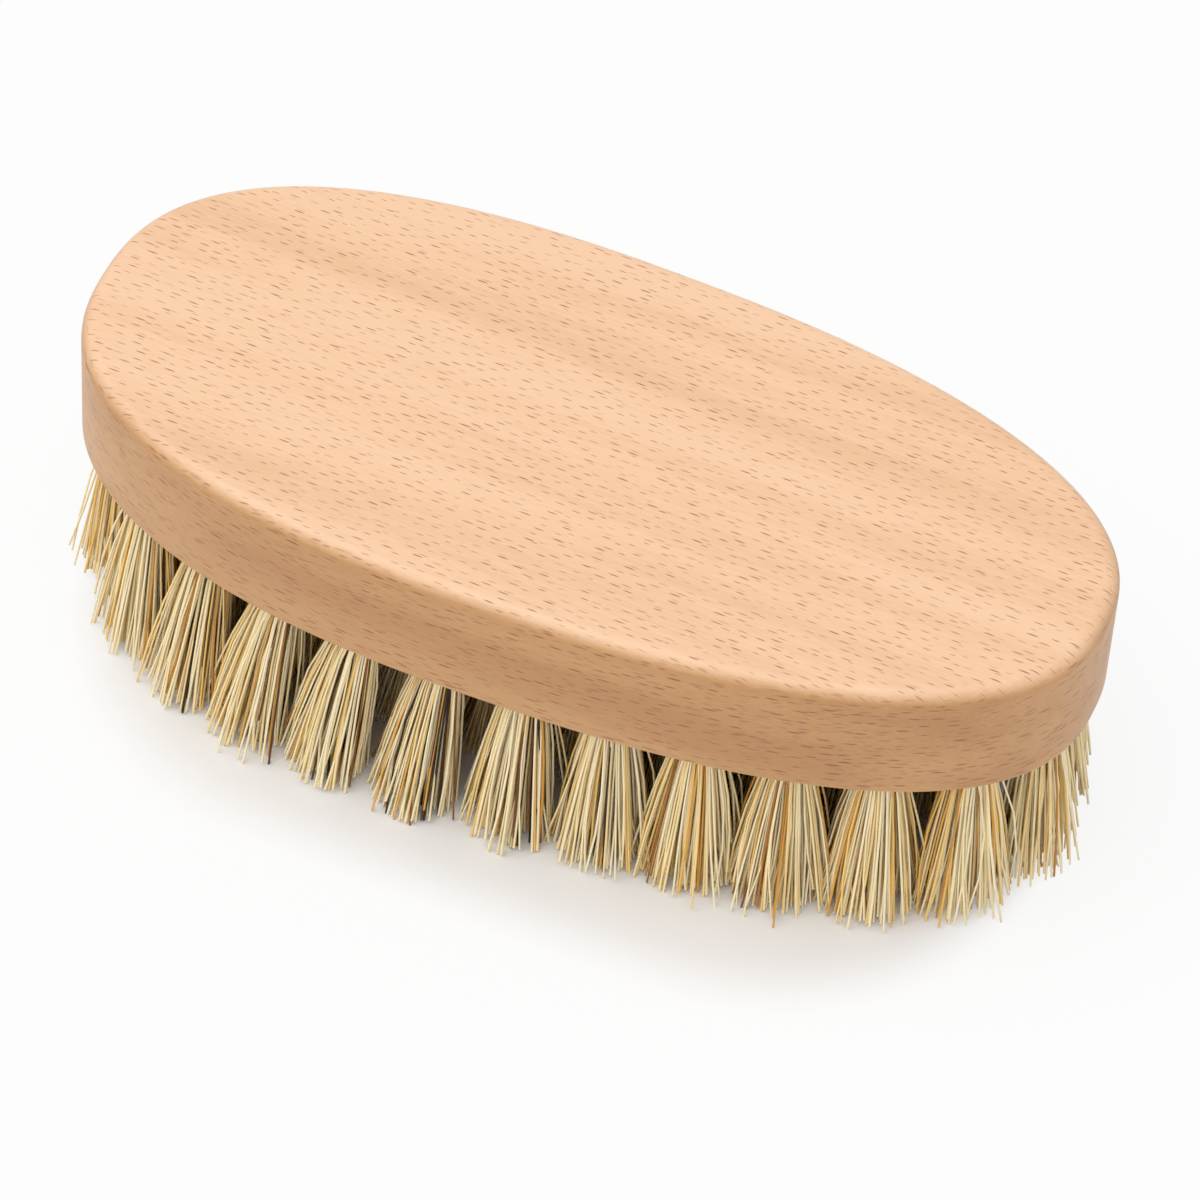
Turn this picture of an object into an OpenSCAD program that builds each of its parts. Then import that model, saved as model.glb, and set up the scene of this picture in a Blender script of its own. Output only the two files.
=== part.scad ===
// Oval vegetable brush: a solid beech block with tufts of plant fibre set in drilled holes.
// The origin is on the plane that the fibre tips stand on, below the middle of the block's length.
// +X runs to the narrow end of the block and +Z runs up, from the fibres to the block.

/* [Block] */
// Length of the block over both ends
block_l = 135; // [110:1:180]
// Width of the block across its middle
block_w = 61.5; // [54:0.5:90]
// Thickness of the block
block_t = 18.5; // [14:0.5:30]
// Roundness of the oval: 2 is an ellipse, and more fills out its corners
oval_power = 2.4; // [2:0.05:2.8]
// How much narrower the block gets from its middle to the +X end, and wider to the other, as a share
taper = 0.06; // [0:0.01:0.15]
// Radius of the rounding round the top face
top_edge_r = 2.2; // [0.5:0.1:5]
// Radius of the rounding round the bottom face
bottom_edge_r = 1; // [0.3:0.1:2]

/* [Holes] */
// Diameter of each drilled hole
hole_d = 5; // [3.5:0.1:6]
// Depth of each drilled hole
hole_depth = 11; // [8:0.5:13]
// Distance from the edge of the block to the outer ring of hole centres
edge_inset = 6; // [5:0.5:9]
// Spacing of the holes along a ring, which a whole number of holes comes nearest to
hole_pitch = 11.1; // [10.8:0.1:16]
// Distance along the outer ring from the +X end back to its first hole
ring_shift = 2.5; // [0:0.1:5]

/* [Tufts] */
// Free length of the fibres, from the bottom of the block to their tips
fibre_l = 26; // [15:0.5:40]
// Gap all round between the packed root of a tuft and its hole
root_clear = 0.05; // [0.02:0.01:0.2]
// Radius of a tuft at its tips, to the middle of the outermost strands
tip_spread = 4.6; // [3:0.1:4.8]
// How far the tips of the outer ring lean out past their holes
outer_lean = 1.5; // [0:0.1:3]
// Half width of a strand, from its axis to its corners
strand_r = 0.55; // [0.3:0.05:0.6]
// Strands in the core of a tuft
core_strands = 3; // [3:1:4]
// Strands round the outside of a tuft
skin_strands = 6; // [5:1:7]

/* [Anchors] */
// Thickness of the flat wire that holds a tuft
anchor_t = 0.6; // [0.4:0.1:0.9]
// Height of the flat wire, along the hole
anchor_h = 2.2; // [1.5:0.1:3]
// How far each end of the wire bites into the wood
anchor_bite = 0.3; // [0.1:0.05:0.6]
// Thickness of the fibres folded round the wire, at the bottom of the hole
fold_h = 1.2; // [0.8:0.1:2]

/* [Hidden] */
// How far a cutting tool runs past the face it cuts
cut_over = 1;
// Depth in its packed root at which a strand begins
strand_sink = 1;
// Points round the outline of the block, and steps over each of its rounded edges
outline_points = 96;
edge_steps = 5;
// Points at which a ring of holes is measured, and half the turn over which its direction is taken
track_points = 360;
half_turn = 0.5;
// Sides of a drilled hole, of the packed root and of a strand
hole_sides = 48;
root_sides = 12;
strand_sides = 3;
// Share of the outer spread that the core of a tuft takes
core_share = 0.42;
// Bow of a strand at half its length, and the most that a tip strays along and across its own way out
strand_bow = 0.35;
stray_out = 0.35;
stray_turn = 7;
// Steps in degrees, from each strand to the next, of its strays along and across, and of its own turn
out_step = 71;
turn_step = 107;
strand_turn = 47;

wood_colour = [0.87, 0.70, 0.53];
fibre_colour = [0.88, 0.81, 0.62];
steel_colour = [0.72, 0.72, 0.70];

// Heights
block_z = fibre_l;
hole_top_z = block_z + hole_depth;
anchor_z = hole_top_z - fold_h - anchor_h;

// Rings of holes: an outer ring, an inner ring halfway to the axis, and a row on the axis
ring_gap = (block_w / 2 - edge_inset) / 2;
row_end = edge_inset + 2 * ring_gap;
strands = core_strands + skin_strands;
root_r = hole_d / 2 - root_clear;
skin_root_r = root_r - strand_r - root_clear;
core_root_r = skin_root_r * core_share;

// Part of an oval's half length or half width that a cosine or sine c reaches
function reach(c) = sign(c) * pow(abs(c), 2 / oval_power);
// Place on the edge of the block at the angle t, anticlockwise from the +X end
function edge_place(t) = [block_l * reach(cos(t)), block_w * reach(sin(t)) * (1 - taper * reach(cos(t)))] / 2;
// Direction that points out of the block there
function edge_out(t) =
    let (run = edge_place(t + half_turn) - edge_place(t - half_turn)) atan2(-run[0], run[1]);
// Place at the angle t on a line set in from the edge, as [x, y, direction out]
function inset_place(t, inset) =
    let (p = edge_place(t), out = edge_out(t)) [p[0] - inset * cos(out), p[1] - inset * sin(out), out];

// Length along such a line up to each of its measured points, each as [length, angle]
function track(inset) =
    let (points = [for (i = [0 : track_points]) inset_place(360 * i / track_points, inset)])
    [for (i = 0, s = 0; i <= track_points; i = i + 1, s = i > track_points ? s : s
        + norm([points[i][0] - points[i - 1][0], points[i][1] - points[i - 1][1]])) [s, 360 * i / track_points]];

function numbered(name, k) = str(name, k < 9 ? "0" : "", k + 1);
// A ring of tufts, each as [name, x, y, direction out of the block, lean of its tips]
function ring(name, inset, shift, lean) =
    let (way = track(inset), whole = way[track_points][0], count = round(whole / hole_pitch))
    [for (k = [0 : count - 1]) let (s = whole * (k + 1) / count - shift)
        concat(numbered(name, k), inset_place(lookup(s, way), inset), lean)];
// A row of tufts on the axis, from the +X end to the other
function row(name, inset) =
    let (whole = block_l - 2 * inset, steps = round(whole / hole_pitch))
    [for (k = [0 : steps]) [numbered(name, k), whole / 2 - k * whole / steps, 0, 0, 0]];

TUFTS = concat(
    ring("tuft_outer_", edge_inset, ring_shift, outer_lean),
    ring("tuft_inner_", edge_inset + ring_gap, 0, 0),
    row("tuft_middle_", row_end)
);

// Closed skin over rings of points, which run anticlockwise seen from above, from the lowest ring up
module skin(rings) {
    n = len(rings[0]);
    top = n * (len(rings) - 1);
    sides = [for (j = [0 : len(rings) - 2]) for (i = [0 : n - 1])
        let (a = j * n + i, b = j * n + (i + 1) % n) each [[a + n, b + n, b], [a + n, b, a]]];
    bottom_face = [for (i = [0 : n - 1]) i];
    top_face = [for (i = [n - 1 : -1 : 0]) top + i];
    polyhedron(points = [for (r = rings) each r], faces = concat(sides, [bottom_face, top_face]));
}

// Levels of the block's surface from the bottom up, each as [how far it is set in from the edge, height]
LEVELS = concat(
    [for (i = [0 : edge_steps]) let (a = 90 * i / edge_steps)
        [bottom_edge_r * (1 - sin(a)), bottom_edge_r * (1 - cos(a))]],
    [for (i = [0 : edge_steps]) let (a = 90 * i / edge_steps)
        [top_edge_r * (1 - cos(a)), block_t - top_edge_r * (1 - sin(a))]]
);

module oval_body() {
    skin([for (v = LEVELS) [for (i = [0 : outline_points - 1])
        let (p = inset_place(360 * i / outline_points, v[0])) [p[0], p[1], block_z + v[1]]]]);
}

// Flat wire across a hole, with both ends past its wall
module anchor_wire(t) {
    translate([t[1] - anchor_t / 2, t[2] - hole_d / 2 - anchor_bite, anchor_z])
        cube([anchor_t, hole_d + 2 * anchor_bite, anchor_h]);
}

module block() {
    color(wood_colour) difference() {
        oval_body();
        for (t = TUFTS) {
            translate([t[1], t[2], block_z - cut_over])
                cylinder(d = hole_d, h = hole_depth + cut_over, $fn = hole_sides);
            anchor_wire(t);
        }
    }
}

module anchors() {
    color(steel_colour) for (t = TUFTS) anchor_wire(t);
}

// Middle of strand k of a tuft at its tip, at half its length and at its root, where own is its number in all
function strand_way(t, k, own) =
    let (
        core = k < core_strands,
        turn = core ? 360 * k / core_strands : 360 * (k + 0.5) / skin_strands,
        out = turn + stray_turn * sin(turn_step * own),
        root_out = core ? core_root_r : skin_root_r,
        tip_out = tip_spread * (core ? core_share : 1) - stray_out * (1 + sin(out_step * own)) / 2,
        root = root_out * [cos(turn), sin(turn)],
        tip = tip_out * [cos(out), sin(out)] + t[4] * [cos(t[3]), sin(t[3])],
        middle = (root + tip) / 2 + strand_bow * [cos(out), sin(out)]
    )
    [[each tip, 0], [each middle, block_z / 2], [each root, block_z + strand_sink]];

// One strand along its way, cut flat across at the tip
module strand(way, turn) {
    skin([for (p = way) [for (i = [0 : strand_sides - 1])
        p + strand_r * [cos(turn + 360 * i / strand_sides), sin(turn + 360 * i / strand_sides), 0]]]);
}

// Tuft i: fibres folded over the wire, packed to fill the hole, and fanning out below the block
module tuft(i) {
    t = TUFTS[i];
    color(fibre_colour) translate([t[1], t[2], 0]) {
        difference() {
            translate([0, 0, block_z]) cylinder(r = root_r, h = hole_depth, $fn = root_sides);
            translate([-anchor_t / 2, -root_r - cut_over, anchor_z])
                cube([anchor_t, 2 * (root_r + cut_over), anchor_h]);
        }
        for (k = [0 : strands - 1])
            let (own = i * strands + k) strand(strand_way(t, k, own), strand_turn * own);
    }
}

block();
anchors();
for (i = [0 : len(TUFTS) - 1]) tuft(i);
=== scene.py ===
# %% [markdown]
# # A vegetable brush of beech and plant fibre
# The brush is one oval block of solid beech with tufts of plant fibre set in drilled holes.
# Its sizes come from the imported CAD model, which is loaded first and stays where it is.
# The block and the tufts are then modelled again with finer shapes, each in the place of its CAD node.

# %% The frame
import math
import random

import bmesh
import bpy
from mathutils import Matrix, Vector


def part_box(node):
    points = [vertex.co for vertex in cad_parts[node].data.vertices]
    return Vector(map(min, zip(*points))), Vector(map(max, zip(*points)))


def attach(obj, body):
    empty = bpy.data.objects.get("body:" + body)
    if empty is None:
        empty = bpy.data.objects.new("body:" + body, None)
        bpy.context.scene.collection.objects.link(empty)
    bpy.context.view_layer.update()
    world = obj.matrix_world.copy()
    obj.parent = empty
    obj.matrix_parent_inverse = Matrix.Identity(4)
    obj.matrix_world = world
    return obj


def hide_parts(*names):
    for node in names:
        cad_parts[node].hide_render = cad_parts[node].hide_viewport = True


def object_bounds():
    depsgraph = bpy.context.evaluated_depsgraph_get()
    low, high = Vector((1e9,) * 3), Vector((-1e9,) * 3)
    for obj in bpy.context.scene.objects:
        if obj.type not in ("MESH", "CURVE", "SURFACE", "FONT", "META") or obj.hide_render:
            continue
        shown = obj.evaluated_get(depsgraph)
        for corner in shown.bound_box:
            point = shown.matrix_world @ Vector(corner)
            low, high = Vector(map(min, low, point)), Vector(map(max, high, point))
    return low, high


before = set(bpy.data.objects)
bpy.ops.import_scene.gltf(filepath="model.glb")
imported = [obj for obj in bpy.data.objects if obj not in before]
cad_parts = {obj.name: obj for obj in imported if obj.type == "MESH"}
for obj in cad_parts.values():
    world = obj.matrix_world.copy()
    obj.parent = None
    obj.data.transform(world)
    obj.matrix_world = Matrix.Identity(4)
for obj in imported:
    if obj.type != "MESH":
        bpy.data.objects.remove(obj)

MM = 0.001
cad_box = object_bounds()
tuft_names = sorted(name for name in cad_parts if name.startswith("tuft_"))


def in_mm(values):
    """Metres as rounded millimetres, to print."""
    return [round(v / MM, 2) for v in values]


print("CAD box in mm:", [in_mm(corner) for corner in cad_box])
print("tufts:", len(tuft_names))

# %% [markdown]
# ## The view
# The photograph looks down on the brush from the front and a little from its narrow end, through a long lens.
# The camera is placed by two angles and a distance, so that its direction stays easy to read and change.
# The shift moves the picture without turning the camera, because the brush isn't in the middle of the frame.

# %% The camera
LOOK_AT = Vector((0, 0, 26 * MM))
AZIMUTH = math.radians(20.24)
ELEVATION = math.radians(49.65)
ROLL = math.radians(4.0)
DISTANCE = 0.9
LENS = 215.4
SENSOR_WIDTH = 36
SHIFT = (0.0075, -0.0545)
NEAREST_SEEN = 0.01


def camera_axes(azimuth, elevation, roll):
    """Right, up and back of a camera that azimuth 0 points along +Y."""
    reach_out = math.cos(elevation)
    back = Vector((math.sin(azimuth) * reach_out, -math.cos(azimuth) * reach_out, math.sin(elevation)))
    level = Vector((math.cos(azimuth), math.sin(azimuth), 0))
    upright = back.cross(level)
    right = math.cos(roll) * level + math.sin(roll) * upright
    return right, back.cross(right), back


axes = camera_axes(AZIMUTH, ELEVATION, ROLL)
camera_data = bpy.data.cameras.new("camera")
camera = bpy.data.objects.new("camera", camera_data)
bpy.context.scene.collection.objects.link(camera)
camera_place = Matrix.Translation(LOOK_AT + DISTANCE * axes[2])
camera.matrix_world = camera_place @ Matrix(axes).transposed().to_4x4()
camera_data.lens = LENS
camera_data.sensor_width = SENSOR_WIDTH
camera_data.shift_x, camera_data.shift_y = SHIFT
camera_data.clip_start = NEAREST_SEEN
bpy.context.scene.camera = camera
print("camera at", [round(v, 3) for v in camera.matrix_world.translation])

# %% [markdown]
# ## Selecting
# Each modelling step acts on whatever is selected, so the selection is cleared before a new piece.

# %% Selection helpers


def select_none():
    """Deselect every object, in object mode."""
    if bpy.context.object and bpy.context.object.mode != "OBJECT":
        bpy.ops.object.mode_set(mode="OBJECT")
    bpy.ops.object.select_all(action="DESELECT")


def select_only(piece):
    """Make piece the one selected and active object."""
    select_none()
    piece.select_set(True)
    bpy.context.view_layer.objects.active = piece


select_none()
print("selected:", len(bpy.context.selected_objects))

# %% [markdown]
# ## Nodes
# A material is a small net of nodes, and so is the world. These helpers empty a net, add a node with its
# settings, and join nodes by name. The last three make what more than one material needs: a noise with a
# stretch of its own, a value that follows a noise, and the shader at the end.

# %% Node helpers
NOISE_LOW = 0.3
NOISE_HIGH = 0.7
# Sockets of a Mix node, by number because its numbers and its colours have the same names
FACTOR, NUMBER_A, NUMBER_B, COLOUR_A, COLOUR_B = 0, 2, 3, 6, 7
NUMBER_OUT, COLOUR_OUT = 0, 2


def srgb(red, green, blue):
    """A colour written as 0 to 255 on the screen, as the linear values that a shader takes."""
    def linear(value):
        share = value / 255
        return share / 12.92 if share <= 0.04045 else ((share + 0.055) / 1.055) ** 2.4
    return (linear(red), linear(green), linear(blue), 1)


def empty_net(tree):
    """Clear a tree of nodes, and give a function that adds a node and one that links two."""
    tree.nodes.clear()

    def add(kind, settings=None, **values):
        made = tree.nodes.new(kind)
        for key, value in (settings or {}).items():
            setattr(made, key, value)
        for key, value in values.items():
            made.inputs[key.replace("_", " ")].default_value = value
        return made

    def link(source, out, target, into):
        tree.links.new(source.outputs[out], target.inputs[into])

    return add, link


def new_material(name):
    """An empty material, as (material, function that adds a node, function that links two)."""
    material = bpy.data.materials.new(name)
    material.use_nodes = True
    return (material, *empty_net(material.node_tree))


def ramp(made, stops):
    """Give a Color Ramp its stops, each as (place, colour)."""
    points = made.color_ramp.elements
    while len(points) > 1:
        points.remove(points[-1])
    points[0].position, points[0].color = stops[0]
    for place, colour in stops[1:]:
        points.new(place).color = colour


def stretched_noise(add, link, place, out, scale, **values):
    """Noise that has a scale of its own along each axis, in waves per metre."""
    stretch = add("ShaderNodeMapping", Scale=scale)
    noise = add("ShaderNodeTexNoise", Scale=1.0, **values)
    link(place, out, stretch, "Vector")
    link(stretch, "Vector", noise, "Vector")
    return noise


def follow_noise(add, link, noise, low, high):
    """A value that goes from low to high with a noise."""
    value = add("ShaderNodeMapRange", From_Min=NOISE_LOW, From_Max=NOISE_HIGH, To_Min=low, To_Max=high)
    link(noise, "Fac", value, "Value")
    return value


def end_shader(add, link, colour, out, roughness, **values):
    """A Principled shader on the material's output, with its colour and roughness linked."""
    shader = add("ShaderNodeBsdfPrincipled", **values)
    surface = add("ShaderNodeOutputMaterial")
    link(colour, out, shader, "Base Color")
    link(roughness, "Result", shader, "Roughness")
    link(shader, "BSDF", surface, "Surface")
    return shader


print("white is", srgb(255, 255, 255))

# %% [markdown]
# ## Dashes in the wood
# Beech is marked by thousands of small rays, which show as brown dashes 1 to 3 mm long.
# A cell pattern gives random points, and the way from each place to its nearest point is stretched into a
# thin ellipse along the grain. The pattern is turned before it is made and the way is turned back after, so
# that the dashes don't line up in rows. Each dash takes its own size and depth from the colour of its cell.

# %% The dashes
DASH_BROWN = srgb(140, 74, 20)
DASH_SCATTER = 0.8
SMALLEST_DASH = 0.5
FAINTEST_DASH = 0.3
DASH_CORE = 0.5
LATTICE_TURN = math.radians(35)


def dashes(add, link, turned, dimensions, pitch, half_size, axis):
    """Dashes that are pitch apart and reach half_size from their middles, in mm: 1 in a dash, 0 outside."""
    unused = [0] * (3 - len(pitch))
    spread = add("ShaderNodeMapping", Scale=[1 / (gap * MM) for gap in pitch] + unused)
    slanted = add("ShaderNodeVectorRotate", Axis=axis, Angle=LATTICE_TURN)
    points = add("ShaderNodeTexVoronoi", {"voronoi_dimensions": dimensions}, Scale=1.0,
                 Randomness=DASH_SCATTER)
    apart = add("ShaderNodeVectorMath", {"operation": "SUBTRACT"})
    straight = add("ShaderNodeVectorRotate", Axis=axis, Angle=-LATTICE_TURN)
    shape = add("ShaderNodeVectorMath", {"operation": "MULTIPLY"})
    shape.inputs[1].default_value = [gap / half for gap, half in zip(pitch, half_size)] + unused
    away = add("ShaderNodeVectorMath", {"operation": "LENGTH"})
    link(turned, "Vector", spread, "Vector")
    link(spread, "Vector", slanted, "Vector")
    link(slanted, "Vector", points, "Vector")
    link(slanted, "Vector", apart, 0)
    link(points, "Position", apart, 1)
    link(apart, "Vector", straight, "Vector")
    link(straight, "Vector", shape, 0)
    link(shape, "Vector", away, 0)

    pick = add("ShaderNodeSeparateColor")
    own_size = add("ShaderNodeMapRange", To_Min=SMALLEST_DASH, To_Max=1.0)
    share = add("ShaderNodeMath", {"operation": "DIVIDE"})
    dark = add("ShaderNodeMapRange", From_Min=DASH_CORE, From_Max=1.0, To_Min=1.0, To_Max=0.0)
    own_depth = add("ShaderNodeMapRange", To_Min=FAINTEST_DASH, To_Max=1.0)
    faded = add("ShaderNodeMath", {"operation": "MULTIPLY"})
    link(points, "Color", pick, "Color")
    link(pick, "Red", own_size, "Value")
    link(away, "Value", share, 0)
    link(own_size, "Result", share, 1)
    link(share, "Value", dark, "Value")
    link(pick, "Green", own_depth, "Value")
    link(own_depth, "Result", faded, 0)
    link(dark, "Result", faded, 1)
    return faded


print("dash brown:", [round(v, 3) for v in DASH_BROWN[:3]])

# %% [markdown]
# ## Beech
# Beech is a pale pink-brown wood with an even grain, here sanded smooth and oiled to a satin gloss.
# Fine streaks and broad bands run along the grain, which lies almost along the block. The faces that look up
# or down are paler, and the sides are deeper, partly in the wood's own colour and partly by painted shade.
# The same choice, by which way a face looks, picks the dashes: a flat pattern on the pale faces, and on the
# sides thin level discs in the wood, which show as dashes wherever the side turns.

# %% The beech material
GRAIN_TURN = math.radians(0.8)
TOP_WOOD = (srgb(222, 177, 136), srgb(234, 192, 155))
# Deeper colour of the sides, partly the wood's own and partly painted shade.
SIDE_WOOD_AND_SHADE = (srgb(180, 127, 71), srgb(196, 145, 89))
STREAKS_PER_M = (160, 2800, 2800)
BANDS_PER_M = (9, 130, 130)
BAND_SHARE = 0.55
DEEP_AT, PALE_AT = 0.4, 0.58
SIDE_BELOW, FACE_ABOVE = 0.25, 1.0
FACE_PITCH, FACE_HALF = (2.7, 0.9), (1.0, 0.115)
SIDE_PITCH, SIDE_HALF = (2.3, 2.3, 0.6), (1.3, 1.3, 0.2)
FACE_AXIS, SIDE_AXIS = (0, 0, 1), (1, 1, 0.5)
DASH_STRENGTH = 0.95
WOOD_ROUGHNESS = (0.42, 0.56)
WOOD_RELIEF = 0.00006
WOOD_BUMP = 0.25
OIL_COAT = 0.4
OIL_ROUGHNESS = 0.4


def facing_up(add, link):
    """1 where a face looks straight up or down, and 0 on the sides."""
    facing = add("ShaderNodeNewGeometry")
    parts = add("ShaderNodeSeparateXYZ")
    level = add("ShaderNodeMath", {"operation": "ABSOLUTE"})
    flat = add("ShaderNodeMapRange", {"interpolation_type": "SMOOTHSTEP"}, From_Min=SIDE_BELOW,
               From_Max=FACE_ABOVE)
    link(facing, "Normal", parts, "Vector")
    link(parts, "Z", level, 0)
    link(level, "Value", flat, "Value")
    return flat


def beech():
    """Pale beech with ray dashes, streaks and bands along the grain, deeper sides that are partly painted
    shade, and a satin finish.
    """
    material, add, link = new_material("beech")
    place = add("ShaderNodeTexCoord")
    turned = add("ShaderNodeMapping", Rotation=(0, 0, GRAIN_TURN))
    link(place, "Object", turned, "Vector")
    flat = facing_up(add, link)

    streaks = stretched_noise(add, link, turned, "Vector", STREAKS_PER_M, Detail=5.0, Roughness=0.8)
    bands = stretched_noise(add, link, turned, "Vector", BANDS_PER_M, Detail=2.0)
    grain = add("ShaderNodeMix", {"data_type": "FLOAT"}, Factor=BAND_SHARE)
    wood = add("ShaderNodeMix", {"data_type": "RGBA"})
    link(streaks, "Fac", grain, NUMBER_A)
    link(bands, "Fac", grain, NUMBER_B)
    # Faces that look sideways take the side colour, which is partly painted shade.
    link(flat, "Result", wood, FACTOR)
    for socket, (deep, pale) in ((COLOUR_A, SIDE_WOOD_AND_SHADE), (COLOUR_B, TOP_WOOD)):
        tone = add("ShaderNodeValToRGB")
        ramp(tone, [(DEEP_AT, deep), (PALE_AT, pale)])
        link(grain, NUMBER_OUT, tone, "Fac")
        link(tone, "Color", wood, socket)

    face_dashes = dashes(add, link, turned, "2D", FACE_PITCH, FACE_HALF, FACE_AXIS)
    side_dashes = dashes(add, link, turned, "3D", SIDE_PITCH, SIDE_HALF, SIDE_AXIS)
    marks = add("ShaderNodeMix", {"data_type": "FLOAT"})
    strength = add("ShaderNodeMath", {"operation": "MULTIPLY"})
    strength.inputs[1].default_value = DASH_STRENGTH
    colour = add("ShaderNodeMix", {"data_type": "RGBA"})
    colour.inputs[COLOUR_B].default_value = DASH_BROWN
    link(flat, "Result", marks, FACTOR)
    link(side_dashes, "Value", marks, NUMBER_A)
    link(face_dashes, "Value", marks, NUMBER_B)
    link(marks, NUMBER_OUT, strength, 0)
    link(strength, "Value", colour, FACTOR)
    link(wood, COLOUR_OUT, colour, COLOUR_A)

    height = add("ShaderNodeMath", {"operation": "SUBTRACT"})
    bump = add("ShaderNodeBump", Strength=WOOD_BUMP, Distance=WOOD_RELIEF)
    link(streaks, "Fac", height, 0)
    link(marks, NUMBER_OUT, height, 1)
    link(height, "Value", bump, "Height")
    roughness = follow_noise(add, link, streaks, *WOOD_ROUGHNESS)
    shader = end_shader(add, link, colour, COLOUR_OUT, roughness, Coat_Weight=OIL_COAT,
                        Coat_Roughness=OIL_ROUGHNESS)
    link(bump, "Normal", shader, "Normal")
    return material


beech_finish = beech()
print("material:", beech_finish.name)

# %% [markdown]
# ## Plant fibre
# The bristles are stiff leaf fibres. Most are cream, some are straw or golden, and a few are dark brown.
# Each fibre carries its own number from 0 to 1 on its mesh, called tone, and a ramp turns it into a colour.
# A fine noise along the fibre keeps any one of them from being flat.

# %% The fibre material
FIBRE_COLOURS = [
    (0.0, srgb(254, 241, 204)),
    (0.45, srgb(254, 234, 180)),
    (0.72, srgb(249, 205, 114)),
    (0.85, srgb(226, 164, 66)),
    (0.92, srgb(160, 100, 38)),
    (0.96, srgb(44, 26, 16)),
]
MOTTLE_PER_M = (900, 900, 120)
FIBRE_LEVEL = (0.94, 1.0)
FIBRE_ROUGHNESS = (0.38, 0.55)
FIBRE_RELIEF = 0.00003
FIBRE_BUMP = 0.2
FIBRE_GLOSS = 0.3


def fibre():
    """Stiff plant fibre with a slight gloss, coloured by the tone on each fibre."""
    material, add, link = new_material("plant_fibre")
    own = add("ShaderNodeAttribute", {"attribute_name": "tone"})
    colours = add("ShaderNodeValToRGB")
    ramp(colours, FIBRE_COLOURS)
    link(own, "Fac", colours, "Fac")
    place = add("ShaderNodeTexCoord")
    mottle = stretched_noise(add, link, place, "Object", MOTTLE_PER_M, Detail=2.0)
    level = follow_noise(add, link, mottle, *FIBRE_LEVEL)
    tinted = add("ShaderNodeVectorMath", {"operation": "SCALE"})
    link(colours, "Color", tinted, 0)
    link(level, "Result", tinted, "Scale")
    bump = add("ShaderNodeBump", Strength=FIBRE_BUMP, Distance=FIBRE_RELIEF)
    link(mottle, "Fac", bump, "Height")
    roughness = follow_noise(add, link, mottle, *FIBRE_ROUGHNESS)
    shader = end_shader(add, link, tinted, "Vector", roughness, Specular_IOR_Level=FIBRE_GLOSS)
    link(bump, "Normal", shader, "Normal")
    return material


fibre_finish = fibre()
print("material:", fibre_finish.name)

# %% [markdown]
# ## Steel
# A short flat wire holds each tuft at the bottom of its hole. It is galvanised, so it is grey and a little
# mottled rather than bright. The CAD shape is right, so it only takes a better material.

# %% The steel material
STEEL_GREYS = [(0.35, srgb(158, 160, 162)), (0.65, srgb(196, 198, 199))]
CLOUDS_PER_M = 900.0
STEEL_ROUGHNESS = (0.3, 0.5)


def steel():
    """Galvanised steel: metal with a cloudy grey and an uneven gloss."""
    material, add, link = new_material("galvanised_steel")
    place = add("ShaderNodeTexCoord")
    clouds = add("ShaderNodeTexNoise", Scale=CLOUDS_PER_M, Detail=3.0)
    link(place, "Object", clouds, "Vector")
    greys = add("ShaderNodeValToRGB")
    ramp(greys, STEEL_GREYS)
    link(clouds, "Fac", greys, "Fac")
    roughness = follow_noise(add, link, clouds, *STEEL_ROUGHNESS)
    end_shader(add, link, greys, "Color", roughness, Metallic=1.0)
    return material


steel_finish = steel()
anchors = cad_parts["anchors"]
anchors.data.materials.clear()
anchors.data.materials.append(steel_finish)
print("anchors carry", anchors.data.materials[0].name)

# %% [markdown]
# ## Where the holes are
# A tuft starts in its hole and spreads to its tips. Both places are read from the CAD node: the top of its
# packed root lies at the bottom of the hole, and the tips are its lowest points.
# Reading them keeps the scene in step with the CAD model if the pattern of holes changes.

# %% Roots and tips
block_low, block_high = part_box("block")
MOUTH_Z = block_low.z
ROOT_TOP_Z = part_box(tuft_names[0])[1].z
TIP_SLICE = 0.5 * MM


def middle(points):
    """Middle of the box round some points, seen from above."""
    return Vector([(min(p[i] for p in points) + max(p[i] for p in points)) / 2 for i in (0, 1)])


def hole_and_tips(name):
    """Centre of a tuft's hole and centre of its tips, in plan."""
    places = [v.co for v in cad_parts[name].data.vertices]
    root = [p for p in places if p.z > ROOT_TOP_Z - TIP_SLICE]
    tips = [p for p in places if p.z < TIP_SLICE]
    return middle(root), middle(tips)


tufts = {name: hole_and_tips(name) for name in tuft_names}
print("first hole in mm:", in_mm(tufts[tuft_names[0]][0]))

# %% [markdown]
# ## The block
# The real block is sawn to an oval, rounded over along both edges and drilled from below.
# It is made in the same order here, and it starts as a flat outline that is laid on the oval. The oval is a
# formula, a little fuller than an ellipse and narrower towards one end, so the outline stays smooth however
# many points it has.

# %% The outline of the block
BLOCK_W = 61.5 * MM
OVAL_POWER = 2.4
TAPER = 0.06
OUTLINE_POINTS = 240


def reach(c):
    """Part of the oval's half length or half width at a cosine or sine c."""
    return math.copysign(abs(c) ** (2 / OVAL_POWER), c)


def edge_place(turn):
    """Place on the edge of the block, anticlockwise from the narrow end."""
    x = reach(math.cos(turn)) * (block_high.x - block_low.x) / 2
    y = reach(math.sin(turn)) * (1 - TAPER * reach(math.cos(turn))) * BLOCK_W / 2
    return Vector((x, y, MOUTH_Z))


select_none()
bpy.ops.mesh.primitive_circle_add(vertices=OUTLINE_POINTS, radius=1, fill_type="NGON")
block = bpy.context.object
block.name = "beech_block"
for corner in block.data.vertices:
    corner.co = edge_place(math.atan2(corner.co.y, corner.co.x))
print("outline of", len(block.data.vertices), "points")

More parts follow.
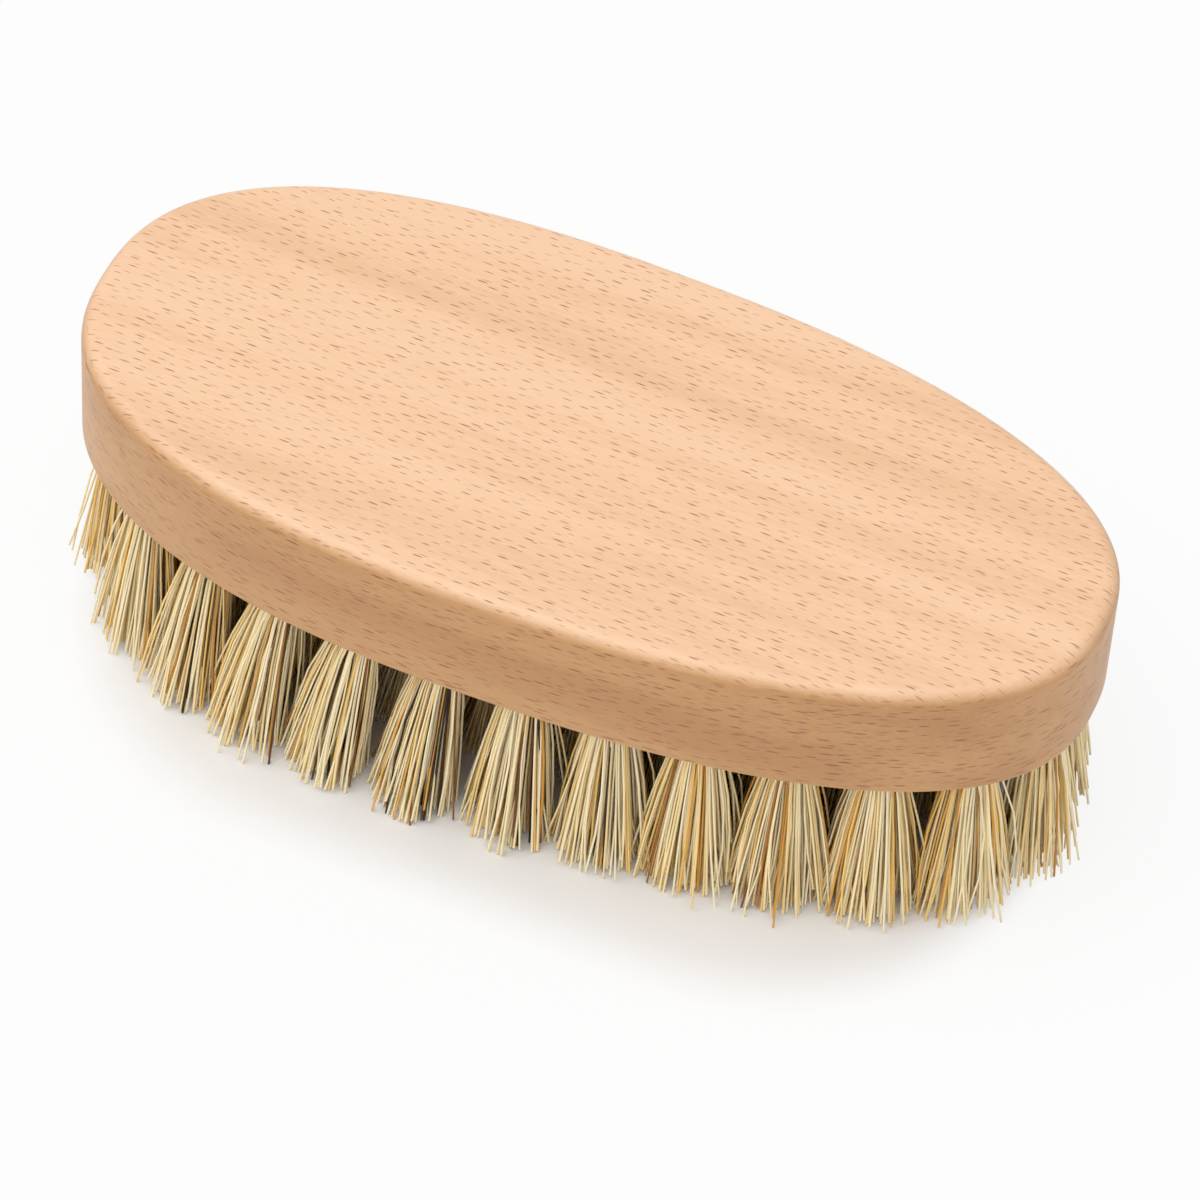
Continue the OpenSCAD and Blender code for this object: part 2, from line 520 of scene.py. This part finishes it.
# %% [markdown]
# ## Thickness and rounded edges
# The outline is extruded to the thickness, and its top and bottom edges are bevelled in small steps. The top
# edge, which the palm holds, is rounder than the bottom one.

# %% The solid block
TOP_EDGE_R = 2.2 * MM
BOTTOM_EDGE_R = 1.0 * MM
EDGE_SEGMENTS = 10
SAME = 0.01 * MM


def select_edges(mesh, wanted):
    """Select just the edges whose two ends both pass the test."""
    bpy.ops.mesh.select_all(action="DESELECT")
    net = bmesh.from_edit_mesh(mesh)
    net.select_mode = {"EDGE"}
    for edge in net.edges:
        edge.select = all(wanted(end.co) for end in edge.verts)
    net.select_flush_mode()
    bmesh.update_edit_mesh(mesh)


select_only(block)
bpy.ops.object.mode_set(mode="EDIT")
bpy.ops.mesh.select_all(action="SELECT")
bpy.ops.mesh.extrude_region_move(TRANSFORM_OT_translate={"value": (0, 0, block_high.z - block_low.z)})
bpy.ops.mesh.select_all(action="SELECT")
bpy.ops.mesh.normals_make_consistent(inside=False)
bpy.ops.mesh.select_mode(type="EDGE")
select_edges(block.data, lambda place: place.z > block_high.z - SAME)
bpy.ops.mesh.bevel(offset=TOP_EDGE_R, segments=EDGE_SEGMENTS, affect="EDGES")
select_edges(block.data, lambda place: place.z < block_low.z + SAME)
bpy.ops.mesh.bevel(offset=BOTTOM_EDGE_R, segments=EDGE_SEGMENTS, affect="EDGES")
bpy.ops.object.mode_set(mode="OBJECT")
print("block has", len(block.data.polygons), "faces before drilling")

# %% [markdown]
# ## The holes
# One drill is modelled as a cylinder that starts below the block, and each hole is a copy of it.
# All the copies are joined first, so that a single boolean drills the block.

# %% Drilling
HOLE_R = 2.5 * MM
DRILL_SIDES = 40
DRILL_START = MOUTH_Z - 1 * MM
SHARP_EDGE = math.radians(25)

select_none()
bpy.ops.mesh.primitive_cylinder_add(vertices=DRILL_SIDES, radius=HOLE_R, depth=ROOT_TOP_Z - DRILL_START,
                                    location=(0, 0, (ROOT_TOP_Z + DRILL_START) / 2))
drill = bpy.context.object
drills = []
for hole, _ in tufts.values():
    copy = drill.copy()
    copy.data = drill.data.copy()
    copy.location.x, copy.location.y = hole
    bpy.context.scene.collection.objects.link(copy)
    drills.append(copy)
select_only(drills[0])
for copy in drills:
    copy.select_set(True)
bpy.ops.object.join()
cutter = bpy.context.object
select_only(block)
cut = block.modifiers.new("holes", "BOOLEAN")
cut.operation = "DIFFERENCE"
cut.solver = "EXACT"
cut.object = cutter
bpy.ops.object.modifier_apply(modifier=cut.name)
bpy.data.objects.remove(cutter)
bpy.data.objects.remove(drill)
bpy.ops.object.shade_smooth_by_angle(angle=SHARP_EDGE)
block.data.materials.clear()
block.data.materials.append(beech_finish)
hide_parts("block")
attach(block, "root")
print("block has", len(block.data.polygons), "faces with its holes")

# %% [markdown]
# ## One fibre
# A fibre is a long thin rod, cut flat at its tip. There are thousands, so each has only five sides and a few
# rings. One straight fibre is modelled with a height of 0 at the tip, 1 where it leaves its hole and a
# little more at its root, and every fibre of the brush is a copy of it that is laid on a bent path.

# %% The straight fibre
FIBRE_SIDES = 5
RING_HEIGHTS = (0, 0.3, 0.58, 0.82, 1, 1.4)

select_none()
bpy.ops.mesh.primitive_circle_add(vertices=FIBRE_SIDES, radius=1, fill_type="NGON")
pattern = bpy.context.object
bpy.ops.object.mode_set(mode="EDIT")
bpy.ops.mesh.select_all(action="SELECT")
for low, high in zip(RING_HEIGHTS, RING_HEIGHTS[1:]):
    bpy.ops.mesh.extrude_region_move(TRANSFORM_OT_translate={"value": (0, 0, high - low)})
bpy.ops.mesh.select_all(action="SELECT")
bpy.ops.mesh.normals_make_consistent(inside=False)
bpy.ops.object.mode_set(mode="OBJECT")
pattern_points = [tuple(v.co) for v in pattern.data.vertices]
pattern_faces = [tuple(f.vertices) for f in pattern.data.polygons]
bpy.data.objects.remove(pattern)
print("a fibre has", len(pattern_points), "points and", len(pattern_faces), "faces")

# %% [markdown]
# ## Colour in a tuft
# Most fibres of a tuft are pale. The tufts at the front left also hold a bunch of dark fibres on one side,
# and everywhere else a dark one is rare.

# %% The tone of a fibre
DARK_SIDE = math.radians(-35)
DARK_SPREAD = math.radians(40)
DARK_SHARE = 0.17
RARE_DARK_SHARE = 0.012
DARK_TONES = (0.92, 1)
PALEST_TO = 0.9
PALE_POWER = 1.8


def turn_gap(one, other):
    """Angle between two directions."""
    return abs((one - other + math.pi) % math.tau - math.pi)


def pick_tone(draw, turn, dark_tuft):
    """Tone of a fibre that stands in the direction turn from the middle of its tuft."""
    dark_share = DARK_SHARE if dark_tuft and turn_gap(turn, DARK_SIDE) < DARK_SPREAD else RARE_DARK_SHARE
    if draw.random() < dark_share:
        return draw.uniform(*DARK_TONES)
    return PALEST_TO * draw.random() ** PALE_POWER


print("colours in the ramp:", len(FIBRE_COLOURS))

# %% [markdown]
# ## The path of a fibre
# The fibres are laid out in a spiral, which spaces them evenly, first in the hole and then, wider, at the
# tips. In the hole they keep clear of the wire that they are folded over.
# Each then strays a little: its tip wanders, it bows to one side, and the cut ends aren't quite level. A few
# stand out from the rest, and a few are short. The middle of a tip goes past the box of the CAD model by no
# more than a set distance.

# %% Laying out fibres
FIBRES = 230
FIBRE_R = 0.155 * MM
ROOT_R = 2.3 * MM
ROOT_GAP = 0.2 * MM
WIRE_HALF = 0.3 * MM
GOLDEN_TURN = math.radians(137.508)
FLARE = 0.8
TIP_WANDER = 0.8 * MM
BOW = 0.55 * MM
STRAY_SHARE = 0.025
STRAY_REACH = 2.2 * MM
STRAY_RANGE = (0.3, 1)
SHORT_SHARE = 0.03
SHORT_BY_MM = (1, 4)
RAGGED = 0.55 * MM
RAGGED_MOST = 1.6 * MM
PAST_BOX = 1.6 * MM


def swing(draw, size):
    """A random step in plan."""
    turn = draw.uniform(0, math.tau)
    return Vector((math.cos(turn), math.sin(turn))) * draw.gauss(0, size)


def fibre_path(draw, number, hole, lean, spread):
    """A function from a height on the straight fibre to a place, and the direction of that fibre in its tuft.

    spread is how far the tips reach from the middle of the tuft, as (along its lean, across its lean).
    """
    out_way = lean.normalized() if lean.length > SAME else Vector((0, 1))
    side_way = Vector((-out_way.y, out_way.x))
    turn = number * GOLDEN_TURN
    out = math.sqrt((number + 0.5) / FIBRES)
    heading = Vector((math.cos(turn), math.sin(turn)))
    root = heading * ROOT_R * out
    root_x = math.copysign(max(abs(root.x), WIRE_HALF + FIBRE_R), root.x)
    tip = out * (out_way * spread[0] * heading.dot(out_way) + side_way * spread[1] * heading.dot(side_way))
    tip += lean + swing(draw, TIP_WANDER)
    if draw.random() < STRAY_SHARE:
        tip += heading * draw.uniform(*STRAY_RANGE) * STRAY_REACH
    for i in (0, 1):
        tip_place = tip[i] + hole[i]
        tip[i] = min(max(tip_place, cad_box[0][i] - PAST_BOX), cad_box[1][i] + PAST_BOX) - hole[i]
    bow = swing(draw, BOW)
    tip_z = min(abs(draw.gauss(0, RAGGED)), RAGGED_MOST)
    if draw.random() < SHORT_SHARE:
        tip_z += draw.uniform(*SHORT_BY_MM) * MM

    def place(height):
        if height >= 1:
            into_hole = (height - 1) / (RING_HEIGHTS[-1] - 1)
            x = root.x + (root_x - root.x) * into_hole
            return Vector((x, root.y, MOUTH_Z + into_hole * (ROOT_TOP_Z - MOUTH_Z - ROOT_GAP)))
        down = 1 - height
        plan = root + (tip - root) * down ** FLARE + bow * math.sin(math.pi * down)
        return Vector((plan.x, plan.y, tip_z + height * (MOUTH_Z - tip_z)))

    return place, turn


print("golden turn in degrees:", round(math.degrees(GOLDEN_TURN), 3))

# %% [markdown]
# ## A tuft
# A tuft is a bundle of fibres folded over the wire, so it fills its hole and fans out below the block.
# The outer tufts fan out wider along the edge than across it. Those of the wide end stand straighter, and the
# tips between the middle and the wide end are swept a little to the left, as on the real brush.
# The copies are joined as one mesh in code, because thousands of separate copies would be slow to join.

# %% Making a tuft
OUTER_SPREAD = (5.3 * MM, 6.6 * MM)
INNER_SPREAD = (7.0 * MM, 7.0 * MM)
THICKNESS_RANGE = (0.8, 1.15)
SWEEP = Vector((-3.6, -1.2)) * MM
SWEEP_START = 10 * MM
SWEEP_RUN = 70 * MM
WIDE_END_X = -48 * MM
WIDE_END_LEAN = 0.2
DARK_BELOW_Y = -8 * MM
DARK_BELOW_X = 12 * MM


def make_tuft(name, hole, tips, seed):
    """One tuft as a mesh of bent copies of the straight fibre, with a tone on each."""
    draw = random.Random(seed)
    lean = tips - hole
    if hole.x < WIDE_END_X:
        lean.x *= WIDE_END_LEAN
    swept = (SWEEP_START - hole.x) / SWEEP_RUN
    if 0 < swept < 1:
        lean += SWEEP * math.sin(math.pi * swept)
    dark_tuft = hole.y < DARK_BELOW_Y and hole.x < DARK_BELOW_X
    spread = OUTER_SPREAD if "outer" in name else INNER_SPREAD
    points, faces, tones = [], [], []
    for number in range(FIBRES):
        place, turn = fibre_path(draw, number, hole, lean, spread)
        tone = pick_tone(draw, turn, dark_tuft)
        radius = FIBRE_R * draw.uniform(*THICKNESS_RANGE)
        first = len(points)
        for x, y, height in pattern_points:
            centre = place(height)
            points.append((hole.x + centre.x + radius * x, hole.y + centre.y + radius * y, centre.z))
        faces.extend(tuple(first + corner for corner in face) for face in pattern_faces)
        tones.extend([tone] * len(pattern_points))
    mesh = bpy.data.meshes.new(name)
    mesh.from_pydata(points, [], faces)
    mesh.attributes.new("tone", "FLOAT", "POINT").data.foreach_set("value", tones)
    mesh.materials.append(fibre_finish)
    made = bpy.data.objects.new(name, mesh)
    bpy.context.scene.collection.objects.link(made)
    return made


print("points in a tuft:", FIBRES * len(pattern_points))

# %% [markdown]
# ## All the tufts
# The brush has three groups of tufts: an outer ring, an inner ring and a row on the axis. Each tuft takes the
# place of its CAD node, and it draws from its own seed, so that no two are the same.

# %% The whole filling
ROUND_FIBRE = math.radians(80)

select_none()
for seed, (node_name, (hole, tips)) in enumerate(tufts.items()):
    made = make_tuft(node_name.replace("tuft_", "fibres_"), hole, tips, seed)
    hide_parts(node_name)
    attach(made, "root")
    made.select_set(True)
    bpy.context.view_layer.objects.active = made
bpy.ops.object.shade_smooth_by_angle(angle=ROUND_FIBRE)
select_none()
print("tufts made:", len(tufts), "of", FIBRES, "fibres each")

# %% [markdown]
# ## The floor
# The photograph has a white ground with a soft shadow close under the tips. The floor is a pale grey plane
# that keeps the shadow. Near the brush the camera sees that grey as it is, which is a painted shadow under
# the real one, and further from the brush than the shadow reaches, the camera sees it lifted to white. The
# edge of that lift, and so of the painted shadow, is a long round shape, set a little in front of the brush,
# where the shadow falls.
# Whatever looks at the floor from below sees through it, so the underside of the brush can be looked at too.

# %% Floor
FLOOR_SIZE = 8
# Grey of the floor where the camera sees it unlifted near the brush: a painted shadow, under the real one.
PAINTED_SHADOW_GREY = 0.8
BOUNCE_GREY = 0.95
WHITE = (1, 1, 1, 1)
GROUND_GLOW = 0.995
FLOOR_LIFT = 0.85
SHADOW_Y = -7 * MM
SHADOW_HALF = 28 * MM
SHADOW_REACH = (28 * MM, 39 * MM)


def floor_lift(add, link):
    """How far the floor is lifted to white, by the distance from a line along the brush; where it is not
    lifted, its grey is a painted shadow.
    """
    ground = add("ShaderNodeTexCoord")
    centred = add("ShaderNodeMapping", Location=(0, -SHADOW_Y, 0))
    parts = add("ShaderNodeSeparateXYZ")
    aside = add("ShaderNodeMath", {"operation": "ABSOLUTE"})
    past_line = add("ShaderNodeMath", {"operation": "SUBTRACT", "use_clamp": True})
    past_line.inputs[1].default_value = SHADOW_HALF
    from_line = add("ShaderNodeCombineXYZ")
    distance = add("ShaderNodeVectorMath", {"operation": "LENGTH"})
    lift = add("ShaderNodeMapRange", {"interpolation_type": "SMOOTHSTEP"}, From_Min=SHADOW_REACH[0],
               From_Max=SHADOW_REACH[1], To_Min=0.0, To_Max=FLOOR_LIFT)
    link(ground, "Object", centred, "Vector")
    link(centred, "Vector", parts, "Vector")
    link(parts, "X", aside, 0)
    link(aside, "Value", past_line, 0)
    link(past_line, "Value", from_line, "X")
    link(parts, "Y", from_line, "Y")
    link(from_line, "Vector", distance, 0)
    link(distance, "Value", lift, "Value")
    return lift


def white_floor():
    """Pale grey ground with its real shadow and a painted shadow near the brush, lifted to white for the
    camera further out, and clear from below.
    """
    material, add, link = new_material("white_floor")
    # This grey, shown unlifted near the brush, is a painted shadow; the real shadow falls on it too.
    shadow_paper = add("ShaderNodeBsdfDiffuse", Color=(PAINTED_SHADOW_GREY, PAINTED_SHADOW_GREY, PAINTED_SHADOW_GREY, 1))
    glow = add("ShaderNodeEmission", Color=WHITE, Strength=GROUND_GLOW)
    grey = add("ShaderNodeBsdfDiffuse", Color=(BOUNCE_GREY, BOUNCE_GREY, BOUNCE_GREY, 1))
    clear = add("ShaderNodeBsdfTransparent")
    path = add("ShaderNodeLightPath")
    under = add("ShaderNodeNewGeometry")
    lifted = add("ShaderNodeMixShader")
    by_ray = add("ShaderNodeMixShader")
    one_sided = add("ShaderNodeMixShader")
    out = add("ShaderNodeOutputMaterial")
    link(floor_lift(add, link), "Result", lifted, "Fac")
    link(shadow_paper, "BSDF", lifted, 1)
    link(glow, "Emission", lifted, 2)
    link(path, "Is Camera Ray", by_ray, "Fac")
    link(grey, "BSDF", by_ray, 1)
    link(lifted, "Shader", by_ray, 2)
    link(under, "Backfacing", one_sided, "Fac")
    link(by_ray, "Shader", one_sided, 1)
    link(clear, "BSDF", one_sided, 2)
    link(one_sided, "Shader", out, "Surface")
    return material


select_none()
bpy.ops.mesh.primitive_plane_add(size=FLOOR_SIZE)
floor = bpy.context.object
floor.name = "floor"
floor.data.materials.append(white_floor())
print("floor of", FLOOR_SIZE, "m with", floor.data.materials[0].name)

# %% [markdown]
# ## The room
# Beyond the floor the world is white to the camera and in reflections. To all else it is an even and dimmer
# light, which fills the sides of the block and the gaps between the tufts.

# %% World
WORLD_LEVEL = 0.63

world = bpy.data.worlds.new("white_room")
bpy.context.scene.world = world
world.use_nodes = True
add, link = empty_net(world.node_tree)
rays = add("ShaderNodeLightPath")
camera_or_glossy = add("ShaderNodeMath", {"operation": "MAXIMUM"})
shown_white = add("ShaderNodeMath", {"operation": "MAXIMUM"})
fill = add("ShaderNodeBackground", Color=WHITE, Strength=WORLD_LEVEL)
white = add("ShaderNodeBackground", Color=WHITE, Strength=1)
choice = add("ShaderNodeMixShader")
room_out = add("ShaderNodeOutputWorld")
link(rays, "Is Camera Ray", camera_or_glossy, 0)
link(rays, "Is Glossy Ray", camera_or_glossy, 1)
link(camera_or_glossy, "Value", shown_white, 0)
link(rays, "Is Transmission Ray", shown_white, 1)
link(shown_white, "Value", choice, "Fac")
link(fill, "Background", choice, 1)
link(white, "Background", choice, 2)
link(choice, "Shader", room_out, "Surface")
print("world level", WORLD_LEVEL)

# %% [markdown]
# ## The sun
# A wide sun from above, a little from the left and the front, lights the top of the block and casts the real
# part of the floor's soft shadow; the rest is the floor's painted shadow. It is wide so that no edge of the
# shadow is sharp.

# %% Sun
SUN_FROM = Vector((-0.22, -0.2, 0.95))
SUN_SPREAD = math.radians(60)
SUN_LEVEL = 0.53

sun_data = bpy.data.lights.new("sun", "SUN")
sun_data.energy = SUN_LEVEL * math.pi / SUN_FROM.normalized().z
sun_data.angle = SUN_SPREAD
sun = bpy.data.objects.new("sun", sun_data)
sun.rotation_euler = SUN_FROM.to_track_quat("Z", "Y").to_euler()
bpy.context.scene.collection.objects.link(sun)
bpy.context.scene.view_settings.view_transform = "Standard"
print("sun energy", round(sun_data.energy, 2))
